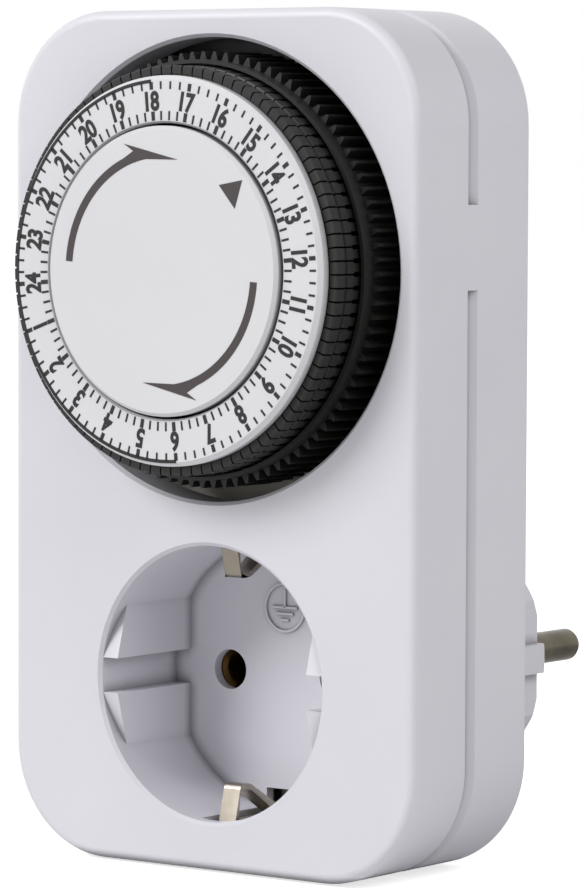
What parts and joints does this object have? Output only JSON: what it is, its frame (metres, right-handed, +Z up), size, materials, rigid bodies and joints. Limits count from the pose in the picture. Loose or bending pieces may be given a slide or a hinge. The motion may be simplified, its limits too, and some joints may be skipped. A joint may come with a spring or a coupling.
{
  "type": "plug in timer switch",
  "caption": "Mechanical plug-in timer switch with a rotating dial, a ring of push-in tappets, an earthed socket recess and a round plug with two pins.",
  "frame": {"origin": "midway between the roots of the two plug pins, on the plug's end face", "axes": "+Z up, +Y along the plug pins towards the wall, the dial and the socket face -Y, +X to the right of someone facing the dial"},
  "size_m": [0.0716, 0.0889, 0.1214],
  "materials": {
    "white_shell": "fine satin moulding",
    "black_plastic": "satin",
    "natural_plastic": "satin",
    "steel": "zinc plated",
    "motor_zinc": "zinc plated",
    "pin_nickel": "nickel plated",
    "contact_brass": "rolled"
  },
  "bodies": {
    "housing": {"front_cover": "white_shell", "rear_cover": "white_shell", "plug_body": "white_shell", "housing_screws": "steel", "centre_disc": "white_shell", "centre_post": "natural_plastic", "movement_plate": "natural_plastic", "plate_screws": "steel", "lever_pin": "steel", "switch_case": "black_plastic", "idler_axle": "steel", "motor_cap": "motor_zinc", "motor_can": "motor_zinc", "live_pin": "pin_nickel", "neutral_pin": "pin_nickel", "live_clip": "contact_brass", "neutral_clip": "contact_brass", "neutral_bar": "contact_brass", "live_bar_out": "contact_brass", "live_bar_in": "contact_brass", "earth_strap_upper": "pin_nickel", "earth_strap_lower": "pin_nickel"},
    "dial": {"dial_carrier": "black_plastic", "dial_scale_ring": "white_shell"},
    "idler": {"idler_gear": "natural_plastic"},
    "motor_shaft": {"motor_pinion": "natural_plastic"},
    "switch_lever": {"switch_lever": "natural_plastic"},
    "switch_plunger": {"switch_plunger": "natural_plastic"},
    "tappets_01": {"tappets_01": "black_plastic"},
    "tappets_02": {"tappets_02": "black_plastic"},
    "tappets_03": {"tappets_03": "black_plastic"},
    "tappets_04": {"tappets_04": "black_plastic"},
    "tappets_05": {"tappets_05": "black_plastic"},
    "tappets_06": {"tappets_06": "black_plastic"},
    "tappets_07": {"tappets_07": "black_plastic"},
    "tappets_08": {"tappets_08": "black_plastic"},
    "tappets_09": {"tappets_09": "black_plastic"},
    "tappets_10": {"tappets_10": "black_plastic"},
    "tappets_11": {"tappets_11": "black_plastic"},
    "tappets_12": {"tappets_12": "black_plastic"},
    "tappets_13": {"tappets_13": "black_plastic"},
    "tappets_14": {"tappets_14": "black_plastic"},
    "tappets_15": {"tappets_15": "black_plastic"},
    "tappets_16": {"tappets_16": "black_plastic"},
    "tappets_17": {"tappets_17": "black_plastic"},
    "tappets_18": {"tappets_18": "black_plastic"},
    "tappets_19": {"tappets_19": "black_plastic"},
    "tappets_20": {"tappets_20": "black_plastic"},
    "tappets_21": {"tappets_21": "black_plastic"},
    "tappets_22": {"tappets_22": "black_plastic"},
    "tappets_23": {"tappets_23": "black_plastic"},
    "tappets_24": {"tappets_24": "black_plastic"}
  },
  "joints": [
    {"name": "dial_spin", "type": "hinge", "parent": "housing", "child": "dial", "pos_m": [0, -0.0588, 0.0584], "axis": [0, 1, 0], "continuous": true},
    {"name": "idler_spin", "type": "hinge", "parent": "housing", "child": "idler", "pos_m": [0.02342, -0.0508, 0.03239], "axis": [0, 1, 0], "continuous": true},
    {"name": "motor_spin", "type": "hinge", "parent": "housing", "child": "motor_shaft", "pos_m": [0.01432, -0.0488, 0.039], "axis": [0, 1, 0], "continuous": true},
    {"name": "lever_swing", "type": "hinge", "parent": "housing", "child": "switch_lever", "pos_m": [-0.02745, -0.0487, 0.0364], "axis": [-1, 0, 0], "range_deg": [0, 7], "stiffness_Nm_per_rad": 0.02},
    {"name": "plunger_travel", "type": "slide", "parent": "housing", "child": "switch_plunger", "axis": [0, 1, 0], "range_m": [0, 0.0017]},
    {"name": "tappets_01_travel", "type": "slide", "parent": "dial", "child": "tappets_01", "axis": [0, 1, 0], "range_m": [0, 0.003]},
    {"name": "tappets_02_travel", "type": "slide", "parent": "dial", "child": "tappets_02", "axis": [0, 1, 0], "range_m": [0, 0.003]},
    {"name": "tappets_03_travel", "type": "slide", "parent": "dial", "child": "tappets_03", "axis": [0, 1, 0], "range_m": [0, 0.003]},
    {"name": "tappets_04_travel", "type": "slide", "parent": "dial", "child": "tappets_04", "axis": [0, 1, 0], "range_m": [0, 0.003]},
    {"name": "tappets_05_travel", "type": "slide", "parent": "dial", "child": "tappets_05", "axis": [0, 1, 0], "range_m": [0, 0.003]},
    {"name": "tappets_06_travel", "type": "slide", "parent": "dial", "child": "tappets_06", "axis": [0, 1, 0], "range_m": [0, 0.003]},
    {"name": "tappets_07_travel", "type": "slide", "parent": "dial", "child": "tappets_07", "axis": [0, 1, 0], "range_m": [0, 0.003]},
    {"name": "tappets_08_travel", "type": "slide", "parent": "dial", "child": "tappets_08", "axis": [0, 1, 0], "range_m": [0, 0.003]},
    {"name": "tappets_09_travel", "type": "slide", "parent": "dial", "child": "tappets_09", "axis": [0, 1, 0], "range_m": [0, 0.003]},
    {"name": "tappets_10_travel", "type": "slide", "parent": "dial", "child": "tappets_10", "axis": [0, 1, 0], "range_m": [0, 0.003]},
    {"name": "tappets_11_travel", "type": "slide", "parent": "dial", "child": "tappets_11", "axis": [0, 1, 0], "range_m": [0, 0.003]},
    {"name": "tappets_12_travel", "type": "slide", "parent": "dial", "child": "tappets_12", "axis": [0, 1, 0], "range_m": [0, 0.003]},
    {"name": "tappets_13_travel", "type": "slide", "parent": "dial", "child": "tappets_13", "axis": [0, 1, 0], "range_m": [0, 0.003]},
    {"name": "tappets_14_travel", "type": "slide", "parent": "dial", "child": "tappets_14", "axis": [0, 1, 0], "range_m": [0, 0.003]},
    {"name": "tappets_15_travel", "type": "slide", "parent": "dial", "child": "tappets_15", "axis": [0, 1, 0], "range_m": [0, 0.003]},
    {"name": "tappets_16_travel", "type": "slide", "parent": "dial", "child": "tappets_16", "axis": [0, 1, 0], "range_m": [0, 0.003]},
    {"name": "tappets_17_travel", "type": "slide", "parent": "dial", "child": "tappets_17", "axis": [0, 1, 0], "range_m": [0, 0.003]},
    {"name": "tappets_18_travel", "type": "slide", "parent": "dial", "child": "tappets_18", "axis": [0, 1, 0], "range_m": [0, 0.003]},
    {"name": "tappets_19_travel", "type": "slide", "parent": "dial", "child": "tappets_19", "axis": [0, 1, 0], "range_m": [0, 0.003]},
    {"name": "tappets_20_travel", "type": "slide", "parent": "dial", "child": "tappets_20", "axis": [0, 1, 0], "range_m": [0, 0.003]},
    {"name": "tappets_21_travel", "type": "slide", "parent": "dial", "child": "tappets_21", "axis": [0, 1, 0], "range_m": [0, 0.003]},
    {"name": "tappets_22_travel", "type": "slide", "parent": "dial", "child": "tappets_22", "axis": [0, 1, 0], "range_m": [0, 0.003]},
    {"name": "tappets_23_travel", "type": "slide", "parent": "dial", "child": "tappets_23", "axis": [0, 1, 0], "range_m": [0, 0.003]},
    {"name": "tappets_24_travel", "type": "slide", "parent": "dial", "child": "tappets_24", "axis": [0, 1, 0], "range_m": [0, 0.003]}
  ],
  "couplings": [
    {"joint": "idler_spin", "follows": "dial_spin", "ratio": -6},
    {"joint": "motor_spin", "follows": "dial_spin", "ratio": 12},
    {"joint": "plunger_travel", "follows": "lever_swing", "m_per_rad": 0.0135}
  ]
}
